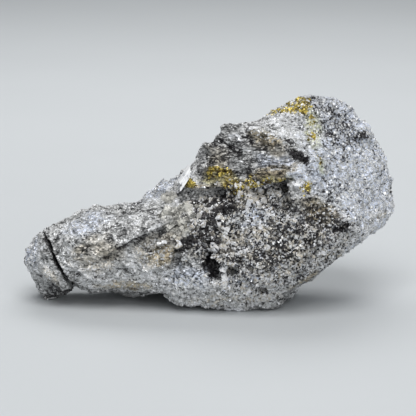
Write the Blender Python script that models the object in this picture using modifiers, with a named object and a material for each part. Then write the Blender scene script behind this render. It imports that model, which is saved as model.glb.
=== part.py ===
"""A hand specimen of skutterudite ore: one broken lump of massive grey metal, lying as it rests.

The lump is fused from faceted masses, each the convex hull of a few corners, then roughened
into the hackly fracture of the mineral, hollowed, cracked near its thin end and set with the
blocky crystals that grew in its open middle. +X runs from the thin end to the thick head,
+Y points to the back, and the lump rests on the plane z = 0.
"""

import math
import random

import bmesh
import bpy
from mathutils import Euler, Matrix, Vector, noise
from mathutils.bvhtree import BVHTree

MM = 0.001  # every size below is in millimetres

# Driving dimensions
SPECIMEN = "skutterudite_specimen"
FORM_VOXEL = 0.8
ROUNDING_PASSES = 1
BODY_FACES = 6600

# Corners of the masses that the lump is fused from, as (x, y, z).
MASSES = {
    "end_knob": [
        (-56.5, 5, 12.5), (-53.5, 6, 19), (-49.5, 4, 21.5), (-50, 6.5, -0.5), (-47.5, 6.5, -1),
        (-41, 0, 4.5), (-51.5, -6, 17), (-48.5, -5, 21), (-46, -9, 16.5), (-43.5, -10.5, 13.5),
        (-42, -9, 9.5), (-43.5, -7, 6.5), (-48.5, -7, 10.5), (-53.5, -4, 14), (-55, 13, 11),
        (-51.5, 14, 16.5), (-47.5, 17, 9), (-42.5, 12, 2.5), (-48.5, 12, 0.5), (-52.5, 12, 5),
    ],
    "knob_bridge": [
        (-51, 5, 18.5), (-52, 14, 16.5), (-48, 5, 4.5), (-48.5, 13, 2.5), (-43.5, 7, 22.5),
        (-44, 14, 21), (-38, 6, 4.5), (-38.5, 15, 2.5),
    ],
    "tail_upper": [
        (-49, 1, 23), (-47.5, 4, 24), (-33, 8, 28.5), (-18, 10, 31), (-13.5, 6, 32),
        (-10, 0, 32.5), (-44, -11, 15.5), (-33.5, -15, 19), (-19.5, -18, 25.5), (-15, -18, 28),
        (-10.5, -16, 30), (-45.5, -8, 19.5), (-41, -12, 22.5), (-41.5, -9, 11), (-46, 16, 21),
        (-33.5, 20, 24), (-18, 20, 26.5), (-42.5, 12, 6), (-12, 18, 6),
    ],
    "tail_crest": [
        (-41.5, 5, 26), (-39, 7, 27.5), (-33, 8, 29), (-30.5, 8, 28.5), (-38, -11, 24.5),
        (-43.5, -2, 24), (-29.5, -9, 27.5), (-33.5, 18, 23.5), (-39.5, 16, 22.5),
    ],
    "tail_lower": [
        (-42.5, -10, 13.5), (-39.5, -8, 8), (-39, -4, 6), (-33.5, -3, 3.5), (-16.5, -3, 3.5),
        (-13.5, -4, 4.5), (-33.5, -12.5, 17), (-9.5, -14, 26), (-37, -11, 10),
        (-11.5, -13, 9.5), (-9, -15.5, 20.5), (-40, 14, 2.5), (-12, 18, 0), (-37, 20, 18.5),
        (-12, 22, 18),
    ],
    "tail_block": [
        (-20.5, -15, 24), (-12, -16.5, 27), (-11, -17, 17), (-14.5, -16.5, 14),
        (-20, -15, 13.5), (-22, -14.5, 18), (-18, 0, 16.5), (-11.5, 0, 20),
    ],
    "shoulder": [
        (-21.5, 13, 29), (-20, 14, 30.5), (-5, 4, 39), (-9.5, 2, 35.5), (-3, 20, 40.5),
        (-3, 24, 17.5), (-18.5, 22, 22.5), (2, 18, 44), (6.5, 24, 8),
    ],
    "core": [
        (-13, -6, 32), (-2.5, -8, 35.5), (24.5, -12, 39.5), (-2.5, -4, 40), (24.5, -8, 42),
        (-13.5, -13, 19.5), (2, -15, 20), (2, -15, 16.5), (25.5, -14, 17), (-13, -12, 9.5),
        (15, -12, 7.5), (-9, 12, 29.5), (24.5, 12, 32.5), (-9, 12, 4.5), (22, 12, 4.5),
    ],
    "sill": [
        (-7.5, -9, 33.5), (6.5, -14, 37), (24, -16, 37), (-8.5, -14, 30), (-2.5, -16.5, 31.5),
        (15.5, -20, 33.5), (26, -21, 33.5), (-8.5, -14, 23), (24, -17, 23.5), (-5.5, 0, 26),
        (24.5, 0, 29),
    ],
    "cavity_lump": [
        (6, -14, 37.5), (8.5, -16, 39.5), (12, -17, 39), (14, -18, 37), (12.5, -19.5, 33.5),
        (8, -19, 32.5), (5.5, -16.5, 34.5), (9, -5, 33),
    ],
    "inner_knot": [
        (17, -17, 38.5), (20, -18, 39.5), (22, -19, 38), (21, -20, 35), (18, -19.5, 34.5),
        (16.5, -18, 36.5), (19.5, -6, 34.5),
    ],
    "vein": [
        (-5.5, 8, 40.5), (-4.5, 4, 40.5), (-13, -8, 32), (-13.5, -3, 34), (-11.5, -10, 30.5),
        (-7, -5, 33), (-9, 14, 32),
    ],
    "belly": [
        (-13.5, -5, 5), (-12.5, -7, 4), (-9.5, -9, 2), (7, -8.5, 0), (16, -8, 0.5),
        (-10, -15, 9.5), (-5.5, -17, 11), (6, -18, 9.5), (15.5, -16, 7.5), (-8, -17, 16),
        (-4, -17, 17), (23, -2, 1.5), (27, -1, 4), (-9, 14, 0), (6.5, 15, -3), (23.5, 14, -2.5),
        (25.5, 10, -0.5), (6.5, 22, 18), (28, 14, 7),
    ],
    "toe": [
        (13, -13, 4.5), (18, -8.5, 0), (20, -8, 0.5), (22, -8, 2.5), (15.5, -15, 8),
        (21, -13, 7.5), (17, 0, 2), (21.5, 2, 1.5),
    ],
    "front_west": [
        (-9, -15, 23), (-5.5, -16, 24.5), (-2, -17, 23.5), (-1.5, -17.5, 18.5), (-4, -17.5, 14),
        (-8, -17, 15), (-5.5, -5, 18),
    ],
    "front_mass": [
        (4, -18, 28.5), (9, -19, 32), (26.5, -23, 34), (31, -21, 36.5), (40, -18, 25.5),
        (26.5, -23.5, 22), (15, -22, 18), (5.5, -20, 17.5), (8, -19, 13), (15.5, -17.5, 9),
        (22.5, -15, 9.5), (30.5, -7, 9.5), (42.5, -8, 20.5), (36.5, 3, 12), (27.5, 0, 5),
        (9.5, 5, 25), (36.5, 5, 31), (15.5, 5, 6),
    ],
    "spur": [
        (1, -17, 24), (4, -19.5, 26.5), (6.5, -20, 25), (7.5, -20, 19.5), (4, -19, 15.5),
        (1, -17.5, 17), (4, -5, 18),
    ],
    "head": [
        (16, 4, 55.5), (17.5, 7, 57), (28, 7, 62.5), (31, 8, 63), (40, 11, 60.5),
        (49, 15, 51.5), (54.5, 15, 42), (56.5, 9, 26.5), (49.5, 7, 20), (42.5, 4, 15.5),
        (27, -3, 60.5), (29.5, -18, 47.5), (30.5, -21, 39.5), (34, -20, 32.5), (40, -17, 26.5),
        (47, -9, 25), (51, -4, 28.5), (42, -5, 48), (48.5, -3, 39), (9.5, 22, 46.5),
        (25, 26, 52.5), (37.5, 25, 54.5), (48, 25, 46), (52.5, 24, 33.5), (50, 21, 23),
        (37.5, 17, 10), (19, 14, 2.5), (3.5, 26, 17), (6.5, 24, 36.5),
    ],
    "head_knob": [
        (43, 6, 56.5), (48.5, 14, 53), (49.5, 13, 50), (47, 2, 50), (42, -1, 52.5), (41, 2, 56),
        (46.5, 22, 48), (48, 20, 51.5),
    ],
    "flank": [
        (35.5, -16, 24.5), (40, -18, 26), (44, -14, 24), (48.5, -6, 23.5), (52, 4, 23.5),
        (49.5, 4, 20), (37.5, -2, 13.5), (35.5, -14, 20), (43, 10, 17.5),
    ],
    "block_top": [
        (5, -6, 57), (15.5, -12, 56), (25.5, -17.5, 51.5), (28, -19, 48), (1.5, -6, 50),
        (3, -5, 55), (5.5, -9, 48.5), (15, -14, 47.5), (27, 2, 59), (9, 0, 56), (6.5, 12, 48),
        (27.5, 6, 43), (24.5, 12, 54.5),
    ],
    "block_base": [
        (-2.5, -4, 49), (-1, -4, 50), (2, -6, 50.5), (-7, -6, 39.5), (-7, -9, 38),
        (0.5, -12.5, 37.5), (8.5, -15, 39.5), (9, -13, 46.5), (15.5, -17.5, 42.5),
        (23.5, -19, 46), (27, -18, 46), (-2.5, 10, 45.5), (-2.5, 6, 35.5), (27, 0, 38),
        (24.5, 6, 46),
    ],
    "face_edge": [
        (29, -19.5, 49.5), (30, -21, 44), (31, -22, 39.5), (34, -22, 33.5), (38, -21, 29.5),
        (42.5, -18.5, 26), (47, -11, 24.5), (41, -8, 44.5), (47, -7.5, 36), (49.5, -7, 29),
        (30, -10, 30),
    ],
    "back_saddle": [
        (-24, 15, 4), (-22, 20, 15), (-17, 20, 25), (-9, 19, 36), (0, 19, 44), (9, 21, 48),
        (14, 25, 42), (16, 27, 22), (14, 20, 4), (0, 22, 4), (-10, 19, 1), (-6, 24, 20),
        (-8, 5, 10), (10, 5, 44),
    ],
    "back_boss": [
        (16, 25, 30), (22, 28, 22), (33, 28, 20), (42, 25, 27), (43, 25, 38), (34, 27, 47),
        (22, 27, 43), (28, 10, 32),
    ],
    "ledge": [
        (11.5, -17, 42), (15.5, -21, 45), (20, -22.5, 46), (24, -22, 46.5), (23, -21.5, 43),
        (17.5, -20, 40.5), (13, -17, 38.5), (12.5, 0, 37), (24, 0, 37), (18, 0, 41),
    ],
    "pillar": [
        (24, -20, 45), (27, -20, 47), (30, -19.5, 45.5), (31, -22.5, 35.5), (25.5, -24, 33.5),
        (23.5, -24, 38), (23.5, -23, 43), (26, -25, 42), (27, 0, 41), (27.5, 0, 28.5),
        (33, -10, 34),
    ],
}

# Hollows left where softer filling has gone, as the corners of what is taken away.
HOLLOWS = {
    "vug": [
        (-1, -24, 20.5), (1.5, -24, 22), (4, -24, 18.5), (4, -24, 14), (0.5, -24, 11), (-2, -24, 14.5),
        (0, -13, 19), (2, -13, 17.5), (2, -12.5, 14.5), (0, -13, 13.5),
    ],
    "slot_west": [
        (5, -26, 18), (9, -26, 18.5), (9, -26, 12.5), (5.5, -26, 11),
        (6, -15.5, 16), (8, -15.5, 15.5), (7.5, -16, 13), (6, -15.5, 13),
    ],
    "slot_east": [
        (36, -27, 31), (42, -27, 30), (44, -27, 27.5), (37, -27, 26),
        (38.5, -17.5, 29.5), (41, -16.5, 28.5), (39, -16.5, 27.5),
    ],
    "toe_notch": [
        (12.5, -22, 11), (18.5, -22, 10.5), (18, -22, 6), (14, -22, 6.5),
        (14.5, -12.5, 9), (17, -12, 8.5), (16, -11.5, 7),
    ],
}

# The open crack behind the thin end: points down the front of its plane with its width at each.
CRACK = (
    ((-50.5, 22.5), 0.7),
    ((-47.5, 19.5), 0.9),
    ((-45.6, 15.5), 0.7),
    ((-43.8, 12.4), 0.9),
    ((-42.4, 9.6), 1.3),
    ((-41.2, 7.0), 1.9),
    ((-39.6, 3.6), 3.6),
    ((-38.5, 0.5), 6.0),
)
CRACK_FRONT = -16.0
CRACK_BACK = 4.0
CRACK_TAPER = 0.6  # its width at the back, as a share of that at the front

# Hackly fracture: (cell size, height), coarse to fine.
FRACTURE = ((9.0, 1.0), (4.2, 0.5))
BACK_FRACTURE = (19.0, 2.2)  # the broad broken planes of the back

FACET_FALL = 0.45  # how fast a facet's plane drops away from its seed
FACET_LEVEL = 0.12  # brings the mean height to 0

# Ledges of the layered block: their thickness, run and wander, how far they stand out, their dip.
LAYER_PITCH = 2.6
LAYER_RUN = 9.0
LAYER_WANDER = 1.6
LAYER_STEP = 0.75
LAYER_DIP = math.radians(9)
LAYERED_LOW = (-7.0, -30.0, 38.0)
LAYERED_HIGH = (29.0, -4.0, 60.0)
LAYERED_FADE = 3.0
LAYERED_FACING = -0.3  # ledges show only where the skin faces the front at least this much

# Crystals grown in the open middle: how many, their size range and where they are sown,
# as (low x, low z, high x, high z) seen from the front.
CRYSTAL_SEED = 11
CRYSTALS = (
    ("cube", 46, (1.4, 2.8), (4.0, 4.0, 34.0, 27.0)),
    ("cube", 16, (1.6, 3.0), (-6.0, 6.0, 6.0, 30.0)),
    ("cleaved", 16, (2.4, 4.6), (-14.0, 20.0, -3.0, 32.0)),
)
CRYSTAL_SUNK = 0.30  # share of its size that a crystal's centre lies under the surface
CLEAVED_LEAN = (0.3, 0.15)
CLEAVED_SHAPE = (1.0, 0.8, 0.65, 1.0)
SIGHT_FROM = -0.1  # the crystals are cast onto the lump from this far in front

FLOOR_CUT = (200.0, 120.0, 20.0)  # size of what is cut off under the resting plane

COLOURS = {"ore": (0.42, 0.42, 0.43, 1.0)}


def clear_scene():
    for thing in list(bpy.data.objects):
        bpy.data.objects.remove(thing)


def new_collection(name):
    made = bpy.data.collections.new(name)
    bpy.context.scene.collection.children.link(made)
    return made


def object_of(bm, name, collection):
    mesh = bpy.data.meshes.new(name)
    bm.to_mesh(mesh)
    bm.free()
    made = bpy.data.objects.new(name, mesh)
    collection.objects.link(made)
    return made


def add_hull(bm, corners):
    """Adds the convex hull of corners, given in millimetres."""
    placed = [bm.verts.new(Vector(corner) * MM) for corner in corners]
    bmesh.ops.convex_hull(bm, input=placed)
    inside = [vert for vert in placed if vert.is_valid and not vert.link_faces]
    bmesh.ops.delete(bm, geom=inside, context="VERTS")


def evaluated_bmesh(thing):
    """The object's mesh with its modifiers applied."""
    graph = bpy.context.evaluated_depsgraph_get()
    bm = bmesh.new()
    bm.from_object(thing, graph)
    return bm


def fused_masses(collection):
    """All masses in one skin of even faces, with its sharp edges worn a little."""
    bm = bmesh.new()
    for corners in MASSES.values():
        add_hull(bm, corners)
    bmesh.ops.recalc_face_normals(bm, faces=bm.faces)
    body = object_of(bm, "masses", collection)
    remesh = body.modifiers.new("Remesh", "REMESH")
    remesh.mode = "VOXEL"
    remesh.voxel_size = FORM_VOXEL * MM
    skin = evaluated_bmesh(body)
    bpy.data.objects.remove(body)
    for _ in range(ROUNDING_PASSES):
        bmesh.ops.smooth_vert(skin, verts=skin.verts, factor=0.5,
                              use_axis_x=True, use_axis_y=True, use_axis_z=True)
    return skin


def facet_height(point, cell):
    """Height of a broken face at a point, about -1 to 1: the highest of the small tilted
    planes that stand at the nearest seeds, so that neighbours meet in a sharp ridge."""
    distances, seeds = noise.voronoi(point / cell)
    heights = []
    for seed, distance in zip(seeds, distances):
        tilt = noise.cell_vector(seed)
        heights.append((point / cell - seed).dot(tilt) - FACET_FALL * distance)
    return max(heights) + FACET_LEVEL


def share_inside(point, low, high, fade):
    """1 well inside a box, falling to 0 outside it over a distance."""
    depth = min(min(p - a, b - p) for p, a, b in zip(point, low, high))
    return max(0.0, min(1.0, depth / fade))


def layer_height(point):
    """Broken ledges of the layered block, dipping to the thick end. Each stands out by its
    own amount and ends after a short run, about -1 to 1."""
    across = point.z * math.cos(LAYER_DIP) + point.x * math.sin(LAYER_DIP)
    across += LAYER_WANDER * noise.noise(point / LAYER_RUN)
    layer = math.floor(across / LAYER_PITCH)
    share = across / LAYER_PITCH - layer
    along = point.x + LAYER_RUN * noise.cell(Vector((layer, 0.5, 0.5)))
    stand = noise.cell(Vector((layer, math.floor(along / LAYER_RUN), 7.5)))
    return 0.6 * (share - 0.5) + 0.8 * stand


def roughen(bm):
    """Moves the skin in and out along its normals into hackly facets and ledges."""
    bm.normal_update()
    moves = []
    for vert in bm.verts:
        point = vert.co / MM
        layered = share_inside(point, LAYERED_LOW, LAYERED_HIGH, LAYERED_FADE)
        if vert.normal.y > LAYERED_FACING:
            layered = 0.0
        height = sum(size * facet_height(point, cell) for cell, size in FRACTURE)
        height *= 1.0 - 0.5 * layered
        cell, size = BACK_FRACTURE
        height += max(0.0, vert.normal.y) * size * facet_height(point, cell)
        height += layered * LAYER_STEP * layer_height(point)
        moves.append(vert.normal * height * MM)
    for vert, move in zip(bm.verts, moves):
        vert.co += move


def crystal(bm, kind, size, place, turn):
    """Adds one crystal: a cube, or a cleaved block leaning like calcite."""
    matrix = Matrix.Translation(place) @ turn.to_matrix().to_4x4()
    if kind == "cleaved":
        matrix = matrix @ Matrix.Shear("XY", 4, CLEAVED_LEAN) @ Matrix.Diagonal(CLEAVED_SHAPE)
    bmesh.ops.create_cube(bm, size=size, matrix=matrix)


def sow_crystals(body, collection):
    """One crystal object for each draw, each set in the surface seen from the front."""
    chance = random.Random(CRYSTAL_SEED)
    surface = BVHTree.FromBMesh(body)
    made = []
    for kind, count, sizes, (low_x, low_z, high_x, high_z) in CRYSTALS:
        for _ in range(count):
            x = chance.uniform(low_x, high_x)
            z = chance.uniform(low_z, high_z)
            size = chance.uniform(*sizes) * MM
            turn = Euler([chance.uniform(0.0, math.pi) for _ in range(3)])
            front = Vector((x * MM, SIGHT_FROM, z * MM))
            place, normal, _, _ = surface.ray_cast(front, Vector((0.0, 1.0, 0.0)))
            if place is None:
                continue
            bm = bmesh.new()
            crystal(bm, kind, size, place - normal * size * CRYSTAL_SUNK, turn)
            made.append(object_of(bm, f"crystal_{len(made)}", collection))
    return made


def crack_cutter(collection):
    """A thin bent wedge from the front of the crack to its closed back."""
    bm = bmesh.new()
    rings = []
    for (x, z), width in CRACK:
        half = width / 2.0
        inner = half * CRACK_TAPER
        ring = [(x - half, CRACK_FRONT, z), (x + half, CRACK_FRONT, z),
                (x + inner, CRACK_BACK, z), (x - inner, CRACK_BACK, z)]
        rings.append([bm.verts.new(Vector(corner) * MM) for corner in ring])
    for upper, lower in zip(rings, rings[1:]):
        for i in range(4):
            j = (i + 1) % 4
            bm.faces.new((upper[i], upper[j], lower[j], lower[i]))
    bm.faces.new(rings[0])
    bm.faces.new(reversed(rings[-1]))
    bmesh.ops.recalc_face_normals(bm, faces=bm.faces)
    return object_of(bm, "crack", collection)


def hollow_cutters(collection):
    made = []
    for name, corners in HOLLOWS.items():
        bm = bmesh.new()
        add_hull(bm, corners)
        bmesh.ops.recalc_face_normals(bm, faces=bm.faces)
        made.append(object_of(bm, name, collection))
    return made


def floor_cutter(collection):
    bm = bmesh.new()
    centre = Matrix.Translation((0.0, 0.0, -FLOOR_CUT[2] / 2.0 * MM))
    bmesh.ops.create_cube(bm, size=MM, matrix=centre @ Matrix.Diagonal((*FLOOR_CUT, 1.0)))
    return object_of(bm, "floor", collection)


def add_boolean(thing, other, operation):
    boolean = thing.modifiers.new(other.name, "BOOLEAN")
    boolean.operation = operation
    boolean.object = other
    other.hide_render = True
    other.display_type = "WIRE"


def reduce_faces(bm, kept, collection):
    """The same skin in fewer triangles, closest where it is rough."""
    faces = sum(len(face.verts) - 2 for face in bm.faces)
    rough = object_of(bm, "rough", collection)
    decimate = rough.modifiers.new("Decimate", "DECIMATE")
    decimate.ratio = kept / faces
    reduced = evaluated_bmesh(rough)
    bpy.data.objects.remove(rough)
    return reduced


def stand_at_origin(specimen, cutters):
    """Puts the middle of the lump's resting face at the origin, cutters and all."""
    for cutter in cutters.objects:
        cutter.parent = specimen
    solid = evaluated_bmesh(specimen)
    for axis in (0, 1):
        places = [vert.co[axis] for vert in solid.verts]
        specimen.location[axis] = -(min(places) + max(places)) / 2.0
    solid.free()


def ore_material():
    made = bpy.data.materials.new("ore")
    made.use_nodes = True
    shader = made.node_tree.nodes["Principled BSDF"]
    shader.inputs["Base Color"].default_value = COLOURS["ore"]
    shader.inputs["Metallic"].default_value = 0.8
    shader.inputs["Roughness"].default_value = 0.4
    return made


def build():
    clear_scene()
    collection = new_collection(SPECIMEN)
    cutters = new_collection("cutters")
    skin = fused_masses(collection)
    roughen(skin)
    skin = reduce_faces(skin, BODY_FACES, collection)
    crystals = sow_crystals(skin, cutters)
    specimen = object_of(skin, SPECIMEN, collection)
    specimen.data.materials.append(ore_material())
    for hollow in hollow_cutters(cutters):
        add_boolean(specimen, hollow, "DIFFERENCE")
    for grown in crystals:
        add_boolean(specimen, grown, "UNION")
    add_boolean(specimen, crack_cutter(cutters), "DIFFERENCE")
    add_boolean(specimen, floor_cutter(cutters), "DIFFERENCE")
    stand_at_origin(specimen, cutters)


build()
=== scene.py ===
"""Finish of a hand specimen of skutterudite ore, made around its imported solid.

One fine skin stands for the solid. It is carved into the broken faces, layers and pits of the ore
and carries the spread of its minerals as attributes. Crystals, calcite and chalcopyrite that grew
in the lump are separate pieces set in that skin. Sizes are in millimetres unless a comment or MM
says that they are metres.
"""

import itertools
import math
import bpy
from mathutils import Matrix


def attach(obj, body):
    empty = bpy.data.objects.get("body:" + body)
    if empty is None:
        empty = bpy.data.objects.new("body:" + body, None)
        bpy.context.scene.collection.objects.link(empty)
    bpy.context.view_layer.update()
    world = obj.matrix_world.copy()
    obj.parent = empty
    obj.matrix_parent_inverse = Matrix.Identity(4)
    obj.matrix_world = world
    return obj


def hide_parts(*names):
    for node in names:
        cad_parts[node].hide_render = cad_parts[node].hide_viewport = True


bl_info = {
    "name": "Skutterudite Specimen",
    "version": (1, 0, 0),
    "blender": (4, 5, 0),
    "location": "View3D > Sidebar > Specimen",
    "description": "Builds the surface, crystals, minerals and studio of a skutterudite specimen",
    "category": "Add Mesh",
}

import bmesh
import bpy
import numpy as np
from bpy.props import FloatProperty, FloatVectorProperty, IntProperty, PointerProperty
from mathutils import Matrix, Vector, noise
from mathutils.bvhtree import BVHTree

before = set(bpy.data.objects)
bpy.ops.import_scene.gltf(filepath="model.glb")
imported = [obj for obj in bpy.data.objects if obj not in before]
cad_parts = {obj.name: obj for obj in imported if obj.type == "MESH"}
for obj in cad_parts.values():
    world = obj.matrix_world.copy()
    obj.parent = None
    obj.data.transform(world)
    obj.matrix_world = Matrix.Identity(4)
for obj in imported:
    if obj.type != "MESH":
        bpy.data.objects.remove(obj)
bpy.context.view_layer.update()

NODE = "skutterudite_specimen"
BODY = "root"
MM = 0.001
WELD = 1e-6

# ---------------------------------------------------------------- where each mineral lies
# Each patch is an ellipsoid: its centre, its radii and its roll about the Y axis in degrees,
# which turns its long side up towards +X. ZONES are the kinds of broken surface, which carve the
# skin and colour it. Where there is none, the ore is hackly.
ZONES = {
    "layered": [
        ((9, -15, 50), (19, 12, 11), -12),
    ],
    "crystalline": [
        ((22, -22, 20), (21, 13, 14), 12), ((2, -18, 27), (9, 9, 12), 0),
        ((12, -20, 37), (14, 7, 4), 0), ((37, -18, 19), (9, 10, 6), 38), ((0, 20, 20), (9, 8, 6), 30),
        ((24, 24, 14), (10, 8, 5), -15),
    ],
    "granular": [
        ((44, 0, 40), (16, 36, 32), 0), ((-1, -15, 6), (18, 10, 7.5), 0),
        ((26, -8, 56), (12, 12, 7), 0),
    ],
    "pitted": [
        ((30, 20, 48), (9, 9, 7), 0), ((38, -4, 55), (8, 9, 7.5), 0), ((39, -8, 48), (6, 8, 3.6), 0),
        ((52, 4, 43), (2.6, 6, 3.2), 20), ((36, -20, 38), (3.4, 5, 2.4), 0),
    ],
}
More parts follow.
